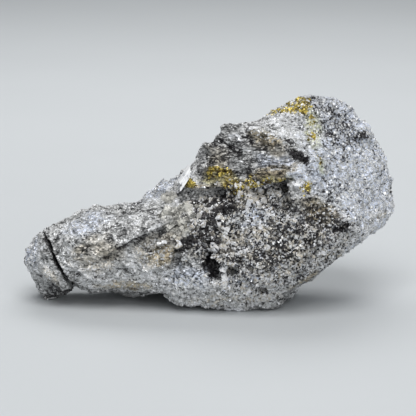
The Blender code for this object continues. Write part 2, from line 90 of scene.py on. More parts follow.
# PATCHES lie on that surface. Some say where crystals sit: gold, dark, calcite, cream, silver and
# shards, which are flat pieces of calcite. Some darken it: shade a little and pit the most. Most pits
# and many dark patches lie in hollows, notches and under ledges, so their darkness is partly dark
# minerals and partly painted shade. Crust has more contrast and coarse crystals, streak brightens the
# edges of the layers, white whitens, and the rest are tints.
PATCHES = {
    "gold": [
        ((21.5, 2, 59.8), (7.5, 5, 1.2), 25), ((26.3, -2, 61.2), (4, 5, 3.4), 20),
        ((28.5, -6, 59.6), (1.6, 4, 1.8), 0), ((31, -8, 57.6), (1.3, 6, 1.4), 0),
        ((30.6, -12, 53), (1.5, 6, 1.1), 0), ((32.6, -20, 47.4), (0.7, 4, 1), 0),
        ((-6, -12, 39.3), (2.6, 4, 2), 0), ((1.8, -15, 43.2), (5.4, 4, 2.1), -8),
        ((7, -18, 38.9), (3.4, 4, 2.2), -25), ((12, -19, 40.8), (3, 4, 1.5), 20),
        ((18.5, -23, 41.5), (5.4, 5, 1.2), 18), ((28.2, -26, 40.9), (2, 3, 2.3), -35),
        ((12, 14, 44), (4, 5, 2), -30), ((28, 24, 36), (3, 4, 1.5), 40),
    ],
    "olive": [
        ((31, -9, 55.5), (2.6, 8, 7.5), 0), ((33, -21, 47), (1.3, 3, 3.6), 0),
        ((18.5, -23, 41.8), (6.5, 5, 1.4), 12), ((3, -16, 41.3), (8, 5, 2.4), -8),
    ],
    "dark": [
        ((3.5, -17, 35.4), (5.5, 5, 1.3), -8), ((2.5, -18, 33.8), (3.6, 4, 1.1), -20),
        ((1, -15, 15), (2.4, 8, 5), 10), ((39, -20, 27.5), (2.6, 4, 1.6), 10),
        ((22.5, -24, 36), (0.6, 4, 1.6), -10), ((17, -17, 7), (1.7, 5, 0.9), -40),
        ((25.4, -21, 50), (3.2, 5, 1.3), -34), ((46, 0, 51), (2.4, 4, 1), 20),
        ((55, 7, 33), (0.9, 2, 1.2), 0), ((-44.5, -5, 3.7), (5.5, 7, 1.9), 0),
        ((-6, -19, 22.5), (5, 4, 0.8), 22), ((-4, -18, 33), (4, 4, 0.8), 30),
        ((0, -20, 28), (5, 4, 1), 45), ((3.5, -17, 30), (4.5, 5, 0.9), 40),
        ((6.5, -18, 33), (3.5, 5, 0.8), 25),
    ],
    "pit": [
        ((24, -19, 52.7), (1.5, 5, 0.8), -20), ((26.6, -21, 48.4), (3.2, 5, 1.25), -27),
        ((1, -15, 15.2), (1.6, 6, 3.2), 10), ((39, -20, 27.5), (2.2, 4, 1.1), 10),
        ((55, 7, 33), (0.8, 2, 1.1), 0), ((46, 0, 51), (1.6, 4, 0.7), 20),
        ((4, -17, 35.3), (4, 5, 0.6), -8), ((-7, -19, 29.6), (0.9, 3, 1.4), 20),
        ((-9.6, -19, 30.6), (0.8, 3, 1), -30),
    ],
    "shade": [
        ((9, -15, 48.5), (15, 12, 7), -10), ((16, -23, 19.5), (9, 7, 2.6), 12),
        ((26, -23, 24), (9, 6, 3), 12), ((33, -24, 32), (8, 5, 3.2), -18),
        ((18.5, -22, 43.4), (7, 5, 2.6), 14), ((6, -15, 45), (8, 5, 1.8), -6),
        ((2, -15, 42), (6, 5, 1.8), -8), ((0, -18, 30), (7, 6, 7), 0), ((39, -3, 56), (3.5, 7, 2), -30),
        ((40, -16, 38), (3.5, 4, 3), 40), ((-23, -17, 22.5), (7, 4, 1.2), 27),
        ((-27, -14, 23.5), (8, 6, 1.6), 25), ((-18, -19, 21), (5, 4, 3.4), 15),
        ((3, -18, 32), (7, 5, 4), 20), ((2, -19, 26), (6, 5, 3), 30), ((0, -18, 25), (7, 6, 4), 30),
    ],
    "calcite": [
        ((-9, -18, 30), (5, 5, 5), 0), ((-12, -10, 34), (2, 3, 2), 40),
    ],
    "cream": [
        ((1, -20, 18), (2.4, 5, 2), 40), ((6, -22, 22), (3.4, 5, 2.2), 38),
        ((10, -23, 26), (3, 5, 1.6), 40), ((15, -24, 27), (2.6, 5, 1.4), 30),
        ((11, -21, 35.5), (4.4, 4, 2), 30), ((39, -20, 23.5), (2.6, 4, 1.8), 20),
        ((-4, -19, 27), (2.6, 4, 1.6), 35), ((-10, -19, 25), (3, 4, 1.6), 35),
        ((14, -19, 12), (3, 4, 1.6), 10), ((16, -15, 5.5), (3, 4, 2), 0),
    ],
    "tan": [
        ((-16, -19, 20), (7, 5, 5), 20), ((-27, -13, 6.5), (9, 6, 3), 5),
        ((-33, -17, 18), (8, 5, 6), 20), ((51, -4, 27.6), (3.4, 4, 1.5), 0),
        ((16, -18, 52), (9, 5, 2.6), -12), ((0, -14, 48), (6, 6, 4), 0),
        ((18.5, -22, 44.2), (7.5, 5, 1.8), 12), ((33, -24, 32), (7.5, 5, 3.2), -18),
        ((28, -24, 36), (3.2, 4, 2.6), 0), ((9, -18, 39.6), (5, 5, 2.2), -10),
        ((28, -12, 9), (6, 4, 1.2), 38), ((-4, -15, 37.5), (4, 5, 2), 0),
        ((28, -22, 22), (8, 5, 5), 10), ((6, -15, 4.5), (15, 8, 2.2), 5),
        ((-48, -9, 9), (3.4, 5, 4), 0), ((37, -19, 18.5), (8, 6, 2.4), 38),
        ((-20, 20, 12), (14, 8, 6), 10), ((20, 26, 30), (9, 6, 12), 30), ((38, 20, 20), (8, 9, 6), -30),
    ],
    "silver": [
        ((-37, -8, 25.5), (9, 9, 2.4), 18), ((-15, 7, 34), (7, 7, 3.6), 35),
        ((-52, -4, 18), (4, 7, 3), 0), ((26, -26, 43), (3, 4, 5), -8),
        ((25.5, -26, 42), (2.4, 4, 3), -8), ((-1, -15, 5), (18, 9, 7), 0),
        ((46, 0, 34), (14, 28, 15), 0), ((50, 0, 46), (6, 28, 14), 0),
        ((-22, -14, 28.5), (8, 5, 1.1), 15), ((13, -23, 30), (5, 4, 2.6), 25),
        ((-18, -15, 13), (8, 5, 3.4), 0), ((-28, -13, 6), (9, 6, 3), 0),
        ((-48, -10, 12), (2.5, 4, 0.8), -20), ((14, -19, 10), (11, 6, 4.6), 12),
        ((22, -18, 10), (6, 6, 3.4), 25), ((38, -19, 21), (6, 5, 3.5), 35),
        ((46, -12, 22), (9, 8, 4.5), 38), ((-32, -13, 12), (9, 6, 4.5), 10),
        ((-17, -18, 18.5), (6, 5, 4), 15), ((-54, -4, 15), (3, 7, 5), 0),
        ((-26, -12, 6), (8, 6, 2.6), 5), ((26, -25, 44.5), (2.6, 5, 3.6), 0),
        ((28, -18, 15), (8, 6, 2.4), 35), ((16, -12, 58.2), (9, 6, 1.4), -8),
        ((26, -17, 53.5), (1.6, 6, 5), -25), ((18, -20, 47.8), (6, 5, 1.6), -6),
        ((31.5, -12, 52.5), (2, 5, 3), 0), ((-27, 2, 29.5), (5, 9, 1.9), 8),
        ((-41, -11, 17), (4, 5, 5), 0), ((19, -23, 37.4), (3.6, 4, 2.4), 0),
        ((31, -22, 50), (1.6, 5, 5), 0), ((19, 1, 57.8), (5, 5, 1.5), 25),
        ((-16, 0, 35), (7, 9, 3.4), 35), ((7, -20, 12), (2, 5, 2.4), 0), ((-50, -9, 10), (4, 5, 5), 0),
        ((14, -17, 55), (7, 6, 2), -15), ((24, -14, 55), (5, 6, 3), -30),
    ],
    "white": [
        ((-6.6, -11, 40.6), (5, 6, 1.3), 58), ((-10.6, -9, 33.4), (3.4, 5, 1.2), -25),
        ((4.3, -21, 13.8), (0.9, 6, 3.4), 0), ((26.1, -26, 41.7), (2, 4, 1.2), 0),
        ((14, -15, 55.2), (1.6, 4, 0.4), 0), ((7, -13, 53.3), (2.4, 4, 0.5), -8),
        ((20.5, 1, 58.6), (2.2, 4, 0.5), 25), ((18, -16, 5), (1.6, 5, 1.2), -30),
        ((9, -24, 22), (1.2, 4, 0.8), 40),
    ],
    "rust": [
        ((2, -15, 42), (7, 5, 2.4), -8), ((2, -17, 38), (7, 5, 1.6), -8),
        ((18.5, -23, 41.6), (5.5, 5, 1.2), 14), ((32, -24, 33.5), (6.5, 5, 3.4), -30),
        ((17, -15, 53), (6, 5, 2), -14), ((19, -22, 44), (6.5, 5, 1.8), 12),
        ((29, -12, 9), (5, 4, 0.9), 38), ((20, 2, 58.9), (5, 5, 0.6), 25),
        ((51, -4, 27.4), (3, 4, 1.2), 0), ((-25, -14, 6.2), (8, 6, 3), 5),
        ((-14, -18, 18.5), (4.5, 5, 3), 20), ((24, 26, 32), (5, 6, 3), 30),
    ],
    "shards": [
        ((-1, -18, 31), (5.5, 6, 6.5), 0), ((4, -20, 24), (5, 6, 5), 30),
        ((12, -21, 36.5), (5, 5, 2.4), 20), ((-8, -17, 25), (5, 6, 2.4), 25),
    ],
    "streak": [
        ((8, -14, 46.5), (4, 4, 0.5), -12), ((18, -18, 49.5), (4, 4, 0.5), -12),
        ((6, -12, 53), (3.6, 5, 1.2), -8), ((13.5, -15, 54), (1.6, 3, 0.5), 0),
        ((17.5, -21, 47.6), (6.5, 4, 1.5), -6), ((11, -16, 49.3), (3, 4, 0.7), -10),
        ((14, -18, 51), (3, 4, 0.4), -10), ((4, -13, 50.3), (3, 4, 0.5), -12),
        ((3, -14, 44.6), (2.5, 4, 1), 0),
    ],
    "crust": [
        ((-1, -15, 5), (19, 9, 6), 0), ((14, -17, 8), (11, 7, 4), 15),
        ((38, -18, 20), (10, 8, 4.6), 38), ((48, -12, 26), (7, 8, 3), 40),
    ],
    "blue": [
        ((44, 0, 42), (17, 30, 28), 0), ((32, -20, 44), (5, 7, 9), -15),
        ((13, -23, 30), (5, 4, 2.6), 25), ((-15, 7, 34), (7, 7, 3.6), 35),
        ((-36, -8, 26), (7, 9, 2), 18), ((-54, -4, 16), (3, 7, 4), 0), ((-5, -16, 12), (7, 7, 3), 5),
        ((26, -25, 44.5), (2.6, 5, 3.6), 0), ((18, -20, 47), (8, 5, 2), -10),
        ((12, -20, 11), (7, 6, 3.4), 10),
    ],
}
# Ledges on the front: the line's (x, z), how proud it stands above and how fast that fades.
# Above the line the skin comes forward and below it falls back. The layered block ends at
# BLOCK_EDGE.
BLOCK_EDGE = ((4, 57.5), (9, 57), (16, 56), (22, 54), (25, 51.5), (28, 47))
LEDGES = [
    (((-33, 17), (-27.5, 20.6), (-24.5, 22.6), (-20, 24.8), (-13.5, 27.6), (-11, 29)), 1.4, 1.5),
    (((7, 38.5), (13, 39.5), (17, 40.5), (22, 42.5), (25, 44)), 1.4, 2.2),
    (BLOCK_EDGE, 0.6, 1.2),
    (((27, 44), (29, 40), (32, 34), (36, 29), (42, 26), (47, 21)), 0.9, 2.5),
    (((36, 28.5), (42, 30), (48, 33), (54, 37)), 0.5, 0.9),
    (((38, 33), (43, 34.5), (49, 37), (54, 41)), 0.4, 0.9),
    (((-42, 12), (-36, 12.5), (-30, 14), (-24, 14.5)), 0.6, 1.4),
]
# Places where the skin lies deeper than the solid, or prouder where the depth is negative: a
# patch and its depth.
HOLLOWS = [
    (((-27, 2, 34), (8, 16, 6), 10), 1.6), (((11, -8, 58), (6, 12, 4.5), 0), 1.3),
    (((-49, -4, 6), (4, 8, 5), 0), 1.4), (((-4, -8, 46), (4, 10, 5), 0), 1.2),
    (((-28, -10, 3), (7, 10, 4), 0), 1), (((46, 0, 56), (5, 12, 5), 0), 0.8),
    (((48, -5, 20), (5, 10, 4), 0), 0.9), (((1, -15, 15), (2.4, 8, 4.8), 10), 1.8),
    (((4, -17, 36.5), (8, 5, 1.8), -8), 1.3), (((22.5, -24, 36), (1.1, 4, 2.4), -10), 0.7),
    (((25.5, -21, 50.4), (3.8, 4, 1.3), -45), 0.9), (((39, -20, 27.5), (2.6, 4, 1.6), 10), 0.8),
    (((55, 7, 33), (0.9, 2, 1.2), 0), 1), (((3.4, -9, 56.2), (1.7, 8, 1.5), 0), -0.9),
    (((-2.2, -9, 49.6), (1.7, 8, 1.3), 0), -0.9),
]
# Cracks on the front: the line's (x, z), its depth and its width.
CRACKS = [
    (((3, 52), (8, 48.5)), 0.6, 0.45),
    (((10, 57), (12.5, 51.5)), 0.6, 0.45),
    (((-10, 20), (-3, 22)), 0.6, 0.5),
    (((-27, 20.5), (-24.3, 22.3), (-20, 24.3), (-16.5, 25.8)), 0.7, 0.45),
]
# The crack that nearly parts the end of the tail. The solid holds it, so the skin around it
# is left uncarved.
LONG_CRACK = (
    (-50.5, 22.5), (-47.5, 19.5), (-45.6, 15.5), (-43.8, 12.4), (-42.4, 9.6), (-41.2, 7.0),
    (-39.6, 3.6), (-38.5, 0.5))
# Calcite given one by one, cleaved blocks and white ones: the place, the size, and the turns about X, Y
# and Z in degrees.
CALCITE_BLOCKS = [
    ((-7.5, -15.3, 31.5), (4.6, 3.4, 5.4), (20, 25, 10)),
    ((-11.5, -18.0, 28.5), (3.4, 3.0, 4.2), (-10, 40, -15)),
    ((-5.5, -16.4, 27.5), (4.0, 3.2, 4.8), (15, -20, 30)),
    ((-12.2, -16.4, 31.2), (3.0, 2.8, 3.4), (35, 15, 0)),
    ((-3.8, -16.8, 32.0), (2.4, 2.4, 3.4), (0, 50, 20)),
    ((-12.0, -7.5, 34.0), (3.4, 3.4, 3.8), (20, 30, 12)),
]
WHITE_BLOCKS = [
    ((-7.2, -10.4, 40.2), (6.4, 3.6, 2.0), (8, -56, 8)),
    ((-8.2, -6.0, 36.8), (3.6, 3.4, 2.2), (-10, -40, 10)),
    ((26.0, -26.9, 41.9), (2.8, 1.6, 1.7), (15, 10, 20)),
    ((4.2, -20.6, 15.2), (1.8, 1.8, 2.6), (10, 20, 30)),
    ((4.6, -20.2, 12.4), (1.7, 1.8, 2.8), (-10, -10, 60)),
]

# ---------------------------------------------------------------- the stage's places, in metres
# Soft lights: the name of the power's setting, the place, the point aimed at and the side.
LIGHTS = (
    ("key", (0.03, -0.60, 0.93), (0.0, 0.0, 0.0), 0.7),
    ("back", (0.0, 0.40, 0.5), (0.0, 0.40, 0.0), 0.5),
    ("front", (0.34, -0.95, 0.22), (0.0, 0.0, 0.02), 0.8),
)
CAMERA_TARGET = (-0.00025, -0.00275, 0.0296)
CAMERA_NEAR = 0.01
# From the middle of the floor to its edges.
FLOOR_REACH = 4.0
SKY_COLOUR = (0.93, 0.97, 1.0, 1.0)
# The width of the camera's sensor, in millimetres.
SENSOR = 36.0


# ---------------------------------------------------------------- settings
def colour_setting(name, about, value):
    return FloatVectorProperty(name=name, description=about, subtype="COLOR", default=value)


def power_setting(name, about, value):
    return FloatProperty(name=name, description=about, default=value, unit="POWER")


def length_setting(name, about, value, least=0.0):
    return FloatProperty(name=name, description=about, default=value, min=least, unit="LENGTH")


class SpecimenSkin(bpy.types.PropertyGroup):
    voxel: length_setting(
        "Voxel", "Size of the even faces that the skin is carved from", 0.41 * MM, 0.2 * MM)
    triangles: IntProperty(
        name="Triangles", description="Triangles that the carved skin is reduced to",
        default=192000, min=10000)
    relief: FloatProperty(
        name="Relief", description="Multiplies the height of all carving", default=1.0, min=0.0)


class SpecimenColours(bpy.types.PropertyGroup):
    ore: colour_setting("Ore", "Fresh broken ore", (0.44, 0.442, 0.44))
    silver: colour_setting("Silver", "Brightest grains", (0.86, 0.87, 0.90))
    # The dark colour is that of dark grains, and on pit floors, in hollows and in cracks it is also
    # painted shade.
    dark: colour_setting("Dark", "Dark grains and pit floors", (0.022, 0.020, 0.022))
    tan: colour_setting("Tan", "Tint of weathered parts", (1.0, 0.92, 0.79))
    olive: colour_setting("Olive", "Tint around the chalcopyrite", (1.0, 0.985, 0.71))
    rust: colour_setting("Rust", "Tint of rusty parts", (0.84, 0.77, 0.63))
    cream: colour_setting("Cream", "Carbonate grains", (0.60, 0.555, 0.475))
    calcite: colour_setting("Calcite", "Calcite", (0.56, 0.55, 0.51))
    gold: colour_setting("Chalcopyrite", "Chalcopyrite", (0.60, 0.485, 0.13))


class SpecimenStage(bpy.types.PropertyGroup):
    floor: colour_setting("Floor", "Colour of the table", (0.62, 0.643, 0.658))
    key: power_setting("Key light", "Power of the soft light overhead", 8.0)
    back: power_setting("Back light", "Power of the soft light behind", 1.9)
    front: power_setting("Front light", "Power of the soft light in front", 3.0)
    sky: FloatProperty(name="Sky", description="Strength of the even light", default=0.25)
    elevation: FloatProperty(
        name="Elevation", description="How far the camera looks down",
        default=math.radians(12.0), subtype="ANGLE")
    distance: length_setting("Distance", "From the camera to its target", 0.7)
    width: length_setting("Width", "Width of view at the target", 0.1248)


def settings():
    return bpy.context.scene.specimen_skin, bpy.context.scene.specimen_colours


# ---------------------------------------------------------------- mesh helpers
def object_of(bm, name):
    """A new object in the scene that holds this bmesh, which is freed."""
    mesh = bpy.data.meshes.new(name)
    bm.to_mesh(mesh)
    bm.free()
    made = bpy.data.objects.new(name, mesh)
    bpy.context.scene.collection.objects.link(made)
    return made


def evaluated_bmesh(thing):
    bm = bmesh.new()
    bm.from_object(thing, bpy.context.evaluated_depsgraph_get())
    return bm


def through_modifier(bm, kind, **values):
    """The bmesh after one modifier."""
    thing = object_of(bm, kind.lower())
    modifier = thing.modifiers.new(kind, kind)
    for key, value in values.items():
        setattr(modifier, key, value)
    made = evaluated_bmesh(thing)
    bpy.data.objects.remove(thing)
    return made


def rows(items, name):
    """One vector of each of the items, a row each."""
    values = np.empty(len(items) * 3)
    items.foreach_get(name, values)
    return values.reshape(-1, 3)


def finish_piece(piece, material):
    piece.data.materials.append(material)
    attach(piece, BODY)


# ---------------------------------------------------------------- patterns in space
CHANCE_TURNS = np.array([[127.1, 269.5, 113.5], [311.7, 183.3, 271.9], [74.7, 246.1, 124.6]])
CHANCE_SPREAD = 43758.5453
LATTICE_AXIS = (0.36, 0.48, 0.80)
FACET_TILT = 0.9
FACET_FALL = 0.45
FACET_REACH = (0.6, 1.0)
FACET_MEAN = -0.06
LOWEST = -9.0


def chance(cells, salt):
    """Three even random numbers, 0 to 1, for each lattice cell. Here and below, the salt picks
    one pattern of its kind, so each use has a salt of its own."""
    return np.modf(np.abs(np.sin(cells @ CHANCE_TURNS + salt)) * CHANCE_SPREAD)[0]


def cobbles(points, salt):
    """Heights of leaning grains about one unit wide, which meet in grooves. Each seed of a turned
    lattice holds a tilted plane that ends a unit away, and the highest plane shows. Taken away
    from a surface, they leave scoops that meet in sharp ridges."""
    points = points @ np.array(Matrix.Rotation(salt, 3, LATTICE_AXIS))
    base = np.floor(points)
    height = np.full(len(points), LOWEST)
    for step in itertools.product((-1, 0, 1), repeat=3):
        cell = base + step
        away = points - cell - chance(cell, salt)
        reach = np.sqrt((away ** 2).sum(axis=1))
        tilt = chance(cell, salt + 5.0) - 0.5
        tilt *= FACET_TILT / np.sqrt((tilt ** 2).sum(axis=1))[:, None]
        fall = FACET_FALL * reach + FACET_TILT * smooth_step(reach, *FACET_REACH)
        height = np.maximum(height, (away * tilt).sum(axis=1) - fall)
    return height - FACET_MEAN


def clouds(points, salt):
    """Smooth noise, about -1 to 1, with a swell one unit wide."""
    shift = Vector((salt, 1.7 * salt, -salt))
    return np.array([noise.noise(Vector(point) + shift) for point in points])


def smooth_step(values, low, high):
    share = np.clip((values - low) / (high - low), 0.0, 1.0)
    return share * share * (3.0 - 2.0 * share)


def tipped(points, rise):
    """The points turned about Y, so that what lies level in them rises to +X by this angle in
    degrees."""
    return points @ np.array(Matrix.Rotation(math.radians(-rise), 3, "Y"))


def spread(points, patches, edge):
    """How far each point lies inside the nearest of the patches, 0 to 1 over a soft edge."""
    inside = np.zeros(len(points))
    for centre, radii, roll in patches:
        reach = np.sqrt(((tipped(points - centre, roll) / radii) ** 2).sum(axis=1))
        inside = np.maximum(inside, 1.0 - smooth_step(reach, 1.0 - edge, 1.0 + edge))
    return inside


def ragged(points, reach, size, salt):
    """The points pushed about by noise, so that patches get torn borders."""
    push = [clouds(points / size, salt + 31.0 * axis) for axis in range(3)]
    return points + reach * np.stack(push, axis=1)


def near_line(points, line):
    """(distance, height above) of each point to a bent line drawn on the front, seen along +Y."""
    flat = points[:, [0, 2]]
    distance = np.full(len(points), 1e3)
    for start, end in itertools.pairwise(np.array(line, float)):
        along = end - start
        share = np.clip((flat - start) @ along / (along @ along), 0.0, 1.0)
        gap = flat - start - share[:, None] * along
        distance = np.minimum(distance, np.sqrt((gap ** 2).sum(axis=1)))
    xs, zs = np.array(sorted(line), float).T
    return distance, flat[:, 1] - np.interp(flat[:, 0], xs, zs)


# ---------------------------------------------------------------- the skin
# The grains of each kind of surface, in two or more sizes: the width, along X, Y and Z where there
# are three, the height and the salt. Those with a negative height are scooped out.
HACKLY = ((5.0, -0.8, 3.0), (2.8, -0.85, 5.0), (1.4, -0.6, 7.0), (0.75, -0.3, 11.0))
LAYERED = (((5.5, 3.5, 1.25), -0.9, 17.0), ((2.2, 1.6, 0.7), -0.6, 19.0))
CRYSTALLINE = ((1.9, 1.2, 29.0), (0.95, 0.8, 31.0))
GRANULAR = ((1.6, -0.9, 43.0), (0.85, -0.6, 47.0))
# The scale of the hackly grains along X, Y and Z, which draws them out along X.
HACKLY_DRAW = (0.65, 0.8, 1.15)
# Each pattern rises to +X by this many degrees, or falls where they are negative.
HACKLY_RISE = -22.0
BAND_RISE = -35.0
LAYER_RISE = 10.0
LAYER_STEP = (4.5, 5.0, 1.3)
LAYER_BEND = 6.0
CAVITY_SIZE = (4.2, 4.2, 2.8)
PIT_CELL = 1.3
PIT_SHARE = 0.28
BAND_SIZE = (7.0, 4.0, 2.4)
BAND_RIPPLE = (1.6, 1.6, 1.0)
# How much deeper than the solid all of the skin lies.
INSET = 0.4
# What is drawn on the front is whole where the part of the normal along -Y is this or more.
FRONT_LEAN = 0.25
LEDGE_EDGE = 0.4
# The long crack closes, and the shade painted dark into it fades, between these distances from its
# line. Small pieces keep clear of it and of the floor.
CRACK_HALF = (0.2, 0.62)
CRACK_SHADE_FADE = (0.35, 0.75)
CRACK_DEPTH = 4.5
CRACK_CLEAR = 1.1
FLOOR_CLEAR = 1.15 * MM


def with_grains(height, points, sizes):
    """The height with grains of these sizes on it."""
    for width, grain, salt in sizes:
        height = height + grain * cobbles(points / width, salt)
    return height


def layered_relief(points):
    """Thin sheets that rise a little to +X and break off in steps."""
    sheets = tipped(points, LAYER_RISE)
    sheets[:, 2] += 0.5 * clouds(sheets / LAYER_BEND, 41.0)
    steps = chance(np.floor(sheets / LAYER_STEP), 23.0)[:, 0] - 0.5
    return with_grains(0.6 * steps, sheets, LAYERED)


def crystalline_relief(points):
    """Coarse grains with cavities between them."""
    cavities = smooth_step(clouds(points / CAVITY_SIZE, 37.0), 0.12, 0.5)
    return with_grains(0.0, points, CRYSTALLINE) - 1.1 * cavities + 0.15


def granular_relief(points):
    """A sugary surface of small grains."""
    swell = clouds(points / 7.0, 53.0) + 0.6 * clouds(points / 3.0, 57.0)
    return with_grains(0.0, points, GRANULAR) + 0.8 * swell


def hackly_relief(points):
    """Broken faces in four sizes."""
    return with_grains(0.0, tipped(points, HACKLY_RISE) * HACKLY_DRAW, HACKLY)


def pit_relief(points):
    """Scattered grains that fell out."""
    cells = points / PIT_CELL
    lost = chance(np.floor(cells), 59.0)[:, 0] > 1.0 - PIT_SHARE
    middle = np.abs(np.modf(np.abs(cells))[0] - 0.5).max(axis=1)
    return -0.45 * lost * (1.0 - smooth_step(middle, 0.3, 0.5))


def in_block(points):
    """Which points lie below the upper edge of the layered block, 0 to 1."""
    _, above = near_line(points, BLOCK_EDGE)
    return smooth_step(-above, -0.5, 0.5)


def drawn_relief(points, normals):
    """The ledges and cracks that are drawn on the front."""
    front = smooth_step(-normals[:, 1], -0.1, FRONT_LEAN)
    total = np.zeros(len(points))
    for line, proud, fade in LEDGES:
        distance, above = near_line(points, line)
        total += front * proud * np.exp(-distance / fade) * np.tanh(above / LEDGE_EDGE)
    for line, depth, width in CRACKS:
        distance, _ = near_line(points, line)
        total -= front * depth * (1.0 - smooth_step(distance, 0.3 * width, width))
    return total


def hollow_depth(points):
    """How much deeper than the solid the skin lies before it is carved, in millimetres."""
    total = np.full(len(points), INSET)
    for patch, depth in HOLLOWS:
        total += depth * spread(points, [patch], 0.35)
    return total


def carved(points, normals):
    """How far each point of the skin moves out along its normal, in millimetres."""
    share = {name: spread(points, patches, 0.25) for name, patches in ZONES.items()}
    share["layered"] *= smooth_step(-normals[:, 1], 0.0, 0.3) * in_block(points)
    height = hackly_relief(points)
    for name, relief in (
            ("granular", granular_relief), ("crystalline", crystalline_relief),
            ("layered", layered_relief)):
        height += share[name] * (relief(points) - height)
    height += share["pitted"] * pit_relief(points) + drawn_relief(points, normals)
    height -= hollow_depth(points)
    distance, _ = near_line(points, LONG_CRACK)
    return height * smooth_step(distance, 0.4, 1.4)


def crack_distance(points):
    """Distance to the long crack of the tail, which wavers."""
    return near_line(ragged(points, 0.45, 1.5, 97.0), LONG_CRACK)[0]


def split(points, normals):
    """Opens the long crack of the tail, straight back from the front."""
    distance = crack_distance(points)
    open_part = (1.0 - smooth_step(distance, *CRACK_HALF)) * (points[:, 1] < 0.0)
    points[:, 1] += CRACK_DEPTH * open_part * smooth_step(-normals[:, 1], -0.6, 0.0)


def skin_points(bm):
    """The points of a bmesh in millimetres and their normals, a row each."""
    normals = np.array([vert.normal[:] for vert in bm.verts])
    return np.array([vert.co[:] for vert in bm.verts]) / MM, normals


def set_points(bm, points):
    for vert, point in zip(bm.verts, points * MM):
        vert.co = point


def bands(points):
    """Streaks of the crystalline part, which fall to +X, about -1 to 1."""
    turned = tipped(points, BAND_RISE)
    return clouds(turned / BAND_SIZE, 73.0) + 0.5 * clouds(turned / BAND_RIPPLE, 79.0)


def mineral_shares(points, normals):
    """Each mineral's share at each point, 0 to 1."""
    torn = ragged(ragged(points, 1.4, 3.5, 61.0), 0.9, 1.3, 67.0)
    soft = ragged(points, 3.0, 8.0, 71.0)
    shares = {name: spread(soft, patches, 0.35) for name, patches in ZONES.items()}
    shares.update({name: spread(torn, patches, 0.25) for name, patches in PATCHES.items()})
    shares["pit"] = spread(ragged(points, 0.8, 1.6, 101.0), PATCHES["pit"], 0.3)
    shares["blue"] = spread(ragged(torn, 2.0, 6.0, 103.0), PATCHES["blue"], 0.5)
    shares["layered"] *= in_block(ragged(points, 0.6, 1.5, 69.0))
    shares["silver"] *= 1.0 - 0.4 * shares["layered"]
    streaks = bands(points)
    shares["pale"] = shares["crystalline"] * smooth_step(streaks, -0.25, 0.35)
    between = 0.6 * shares["crystalline"] * smooth_step(-streaks, 0.05, 0.5)
    # The cracks join the dark share here: their darkness is painted shade, not a mineral.
    shares["dark"] = np.maximum.reduce([shares["dark"], between, painted_crack_shade(points, normals)])
    shares["dark"] *= np.clip(0.75 + 0.8 * clouds(points / 1.1, 83.0), 0.0, 1.0)
    shares["dark"] *= 1.0 - shares["white"]
    return shares


def painted_crack_shade(points, normals):
    """How far each point lies in one of the cracks, 0 to 1: where shade is painted dark into them."""
    front = smooth_step(-normals[:, 1], -0.1, FRONT_LEAN)
    total = (points[:, 1] < 0.0) * (1.0 - smooth_step(crack_distance(points), *CRACK_SHADE_FADE))
    for line, _, width in CRACKS:
        distance, _ = near_line(points, line)
        total = np.maximum(total, front * (1.0 - smooth_step(distance, 0.3 * width, width)))
    return total


def add_attributes(mesh, base):
    """Gives the skin an attribute for each mineral, and one for how proud it stands, which the ore's
    material turns into painted shade in the grooves and hollows and painted light on what stands proud.
    """
    points = rows(mesh.vertices, "co") / MM
    shares = mineral_shares(points, rows(mesh.vertices, "normal"))
    shares["relief"] = hollow_depth(points)
    for index, point in enumerate(points * MM):
        spot, normal, _, _ = base.find_nearest(point)
        shares["relief"][index] += (Vector(point) - spot).dot(normal) / MM
    for name, values in shares.items():
        layer = mesh.attributes.new(name, "FLOAT", "POINT")
        layer.data.foreach_set("value", values.astype(np.float32))


class MakeSkin(bpy.types.Operator):
    """Carves the skin of the lump and spreads its minerals"""
    bl_idname = "specimen.skin"
    bl_label = "Skin"

    def execute(self, context):
        skin, colours = settings()
        solid = bmesh.new()
        solid.from_mesh(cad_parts[NODE].data)
        bmesh.ops.remove_doubles(solid, verts=solid.verts, dist=WELD)
        even = through_modifier(solid, "REMESH", mode="VOXEL", voxel_size=skin.voxel)
        even.normal_update()
        base = BVHTree.FromBMesh(even)
        points, normals = skin_points(even)
        points += normals * (carved(points, normals) * skin.relief)[:, None]
        split(points, normals)
        points[:, 2] = np.maximum(points[:, 2], 0.0)
        set_points(even, points)
        share = skin.triangles / (2.0 * len(even.faces))
        reduced = through_modifier(even, "DECIMATE", ratio=min(share, 1.0))
        for vert in reduced.verts:
            vert.co.z = max(vert.co.z, 0.0)
        bmesh.ops.triangulate(reduced, faces=reduced.faces)
        piece = object_of(reduced, "ore_skin")
        add_attributes(piece.data, base)
        finish_piece(piece, ore_material(colours))
        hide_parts(NODE)
        return {"FINISHED"}


# ---------------------------------------------------------------- grains and crystals
# The splinters rise to +X, each by an angle between these two.
SPLINTER_SPIN = (math.radians(-8.0), math.radians(52.0))


